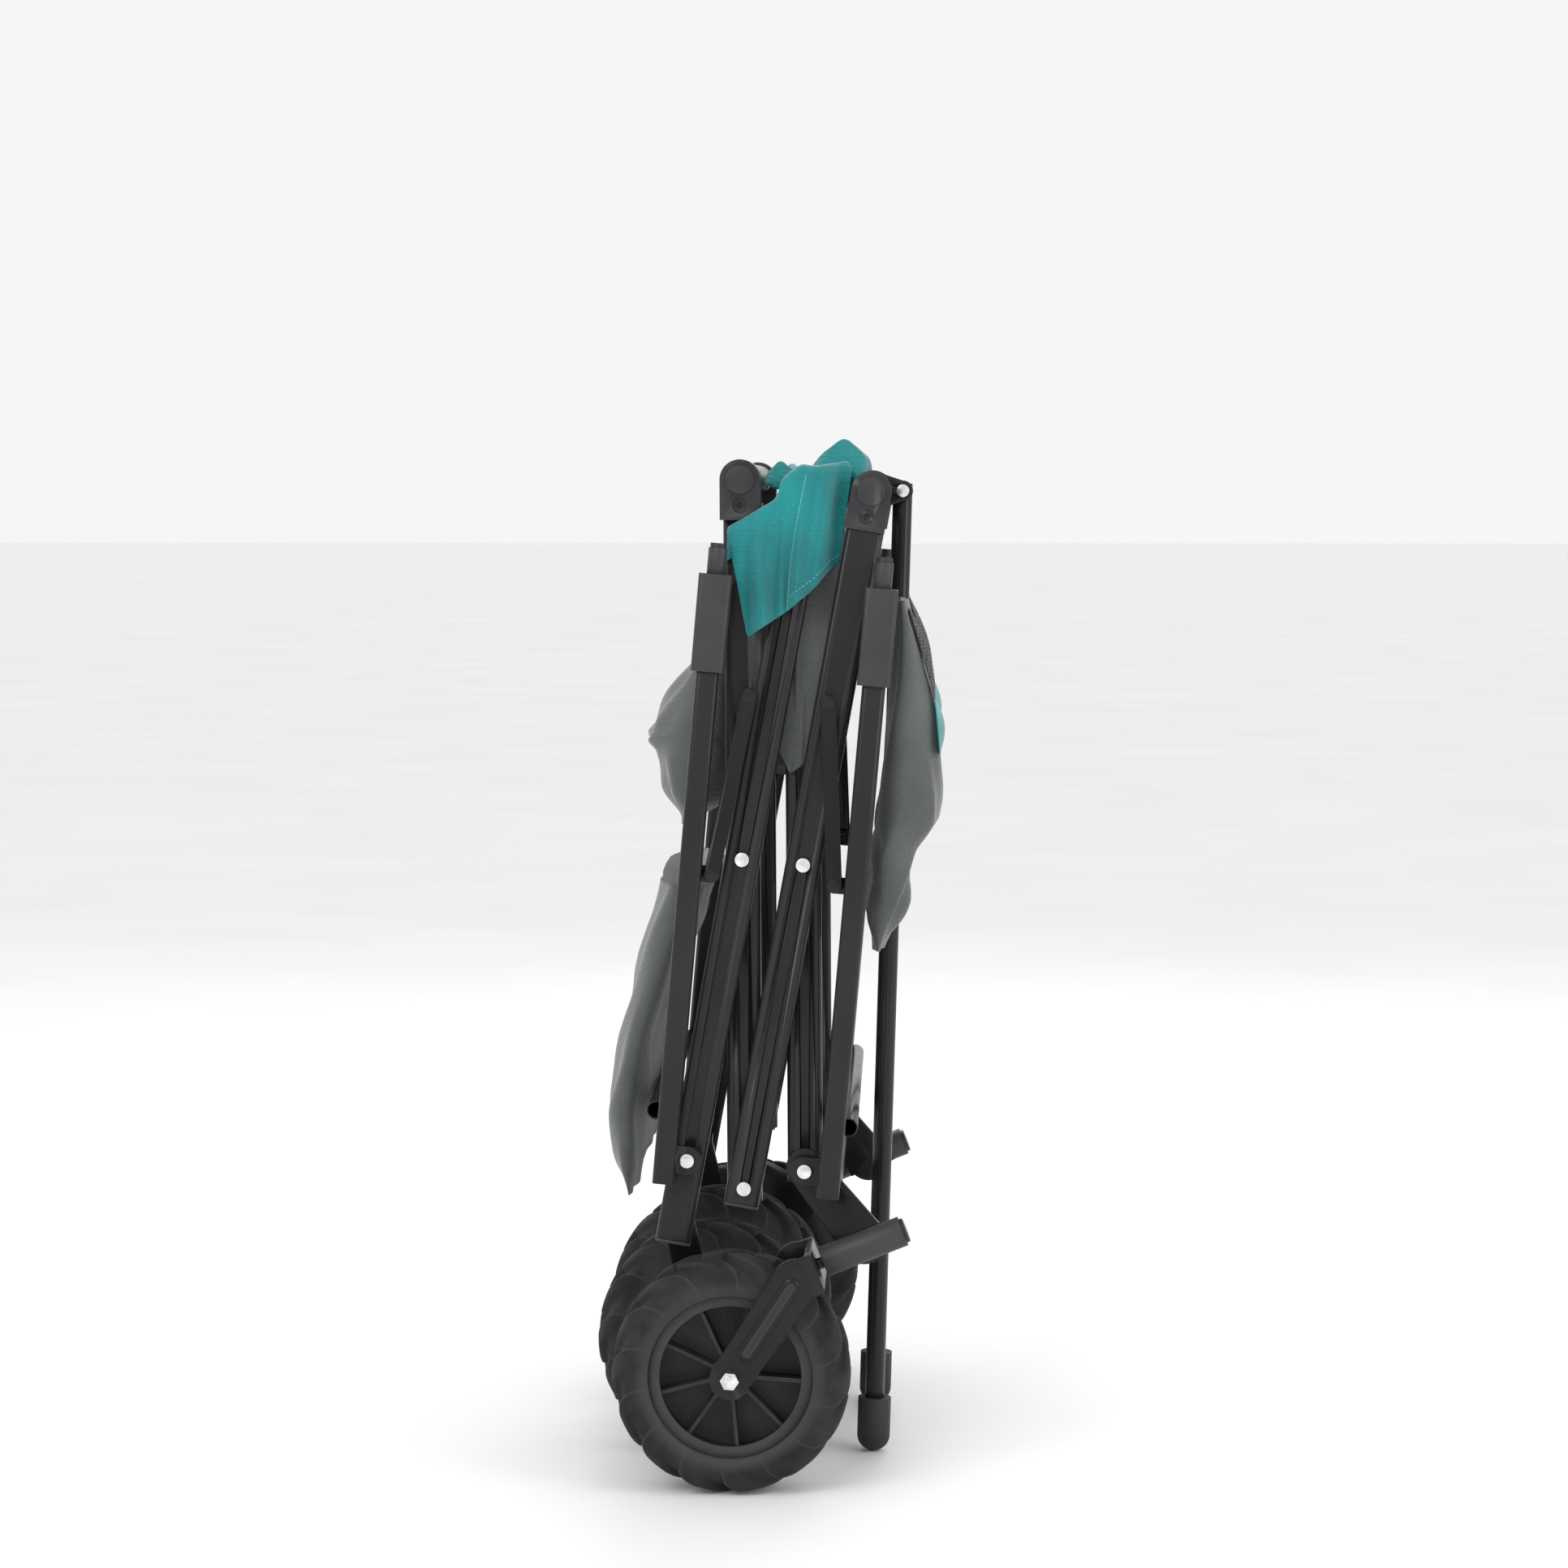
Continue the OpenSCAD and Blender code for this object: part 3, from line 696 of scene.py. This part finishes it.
# ---------------------------------------------------------------- stamped ribs on the fork arms
def capsule(name, start, end, radius, depth, across):
    """Raised rounded rib between two side-plane points. across holds its face and its direction."""
    begin, stop = Vector((start[0], start[1])), Vector((end[0], end[1]))
    direction = (stop - begin).normalized()
    normal = Vector((-direction.y, direction.x))
    around, rings = 56, 9
    vertices = []
    for ring in range(rings):
        turn = ring / (rings - 1) * math.pi / 2
        spread_out, height = radius * math.cos(turn) ** 0.6, depth * math.sin(turn)
        for k in range(around):
            angle = 2 * math.pi * k / around
            centre = stop if math.cos(angle) > 0 else begin
            offset = (direction * math.cos(angle) + normal * math.sin(angle)) * spread_out
            spot = centre + offset
            vertices.append(place(spot.x, across[0] + across[1] * height, spot.y))
    faces = [
        (r * around + k, r * around + (k + 1) % around,
         (r + 1) * around + (k + 1) % around, (r + 1) * around + k)
        for r in range(rings - 1) for k in range(around)
    ]
    faces.append(tuple((rings - 1) * around + k for k in range(around)))
    faces.append(tuple(reversed(range(around))))
    obj = add_object(name, vertices, faces, MATERIALS["black_steel"])
    outward(obj)
    return obj


FORK_FACE = 288
RIB_START, RIB_END = (-2, -91), (-34, -150)
RIB_RADIUS, RIB_HEIGHT, RIB_SINK = 8, 3, 0.4
for side_name, side_sign in SIDES.items():
    rib_across = (side_sign * (FORK_FACE - RIB_SINK), side_sign)
    rib = capsule("fork_rib_" + side_name, RIB_START, RIB_END, RIB_RADIUS, RIB_HEIGHT, rib_across)
    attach(rib, "fork_" + side_name)


# ---------------------------------------------------------------- stage, light and camera
FLOOR_HALF = 60
LIGHT_AIM = Vector((0, 0, 0.4))
WORLD_STRENGTH = 0.92
LENS, SENSOR = 95.7, 36
CAMERA_FROM_PIVOT = Vector((0.0879, -3.744, 0.579))
CAMERA_AIM = Vector((-0.0299, 0.9970, -0.0710))


def stage():
    work = bmesh.new()
    bmesh.ops.create_grid(work, x_segments=1, y_segments=1, size=FLOOR_HALF)
    mesh = bpy.data.meshes.new("floor")
    work.to_mesh(mesh)
    work.free()
    mat, tree, shader = new_material("pale_floor", (0.86, 0.86, 0.86), 0.6)
    tree.links.new(ramp(tree, noise(tree, 2), (0.90, 0.90, 0.90), (0.93, 0.93, 0.93)),
                   shader.inputs["Base Color"])
    mesh.materials.append(mat)
    floor = bpy.data.objects.new("floor", mesh)
    bpy.context.scene.collection.objects.link(floor)


def area_light(name, location, size, power):
    light = bpy.data.lights.new(name, "AREA")
    light.size = size
    light.energy = power
    obj = bpy.data.objects.new(name, light)
    obj.location = location
    obj.rotation_euler = (LIGHT_AIM - Vector(location)).to_track_quat("-Z", "Y").to_euler()
    bpy.context.scene.collection.objects.link(obj)


def world():
    bpy.context.scene.world = bpy.data.worlds.new("studio")
    bpy.context.scene.world.use_nodes = True
    background = bpy.context.scene.world.node_tree.nodes["Background"]
    background.inputs["Color"].default_value = (1, 1, 1, 1)
    background.inputs["Strength"].default_value = WORLD_STRENGTH
    bpy.context.scene.view_settings.view_transform = "Standard"


def camera():
    data = bpy.data.cameras.new("camera")
    data.lens = LENS
    data.sensor_width = SENSOR
    obj = bpy.data.objects.new("camera", data)
    obj.location = PIVOT + CAMERA_FROM_PIVOT
    obj.rotation_euler = CAMERA_AIM.to_track_quat("-Z", "Y").to_euler()
    bpy.context.scene.collection.objects.link(obj)
    bpy.context.scene.camera = obj


stage()
world()
area_light("key", (-1.6, -2.6, 2.6), 1.8, 42)
area_light("fill", (2.6, -1.8, 1.4), 1.6, 24)
area_light("back", (0.4, 2.4, 2.4), 1.8, 26)
camera()
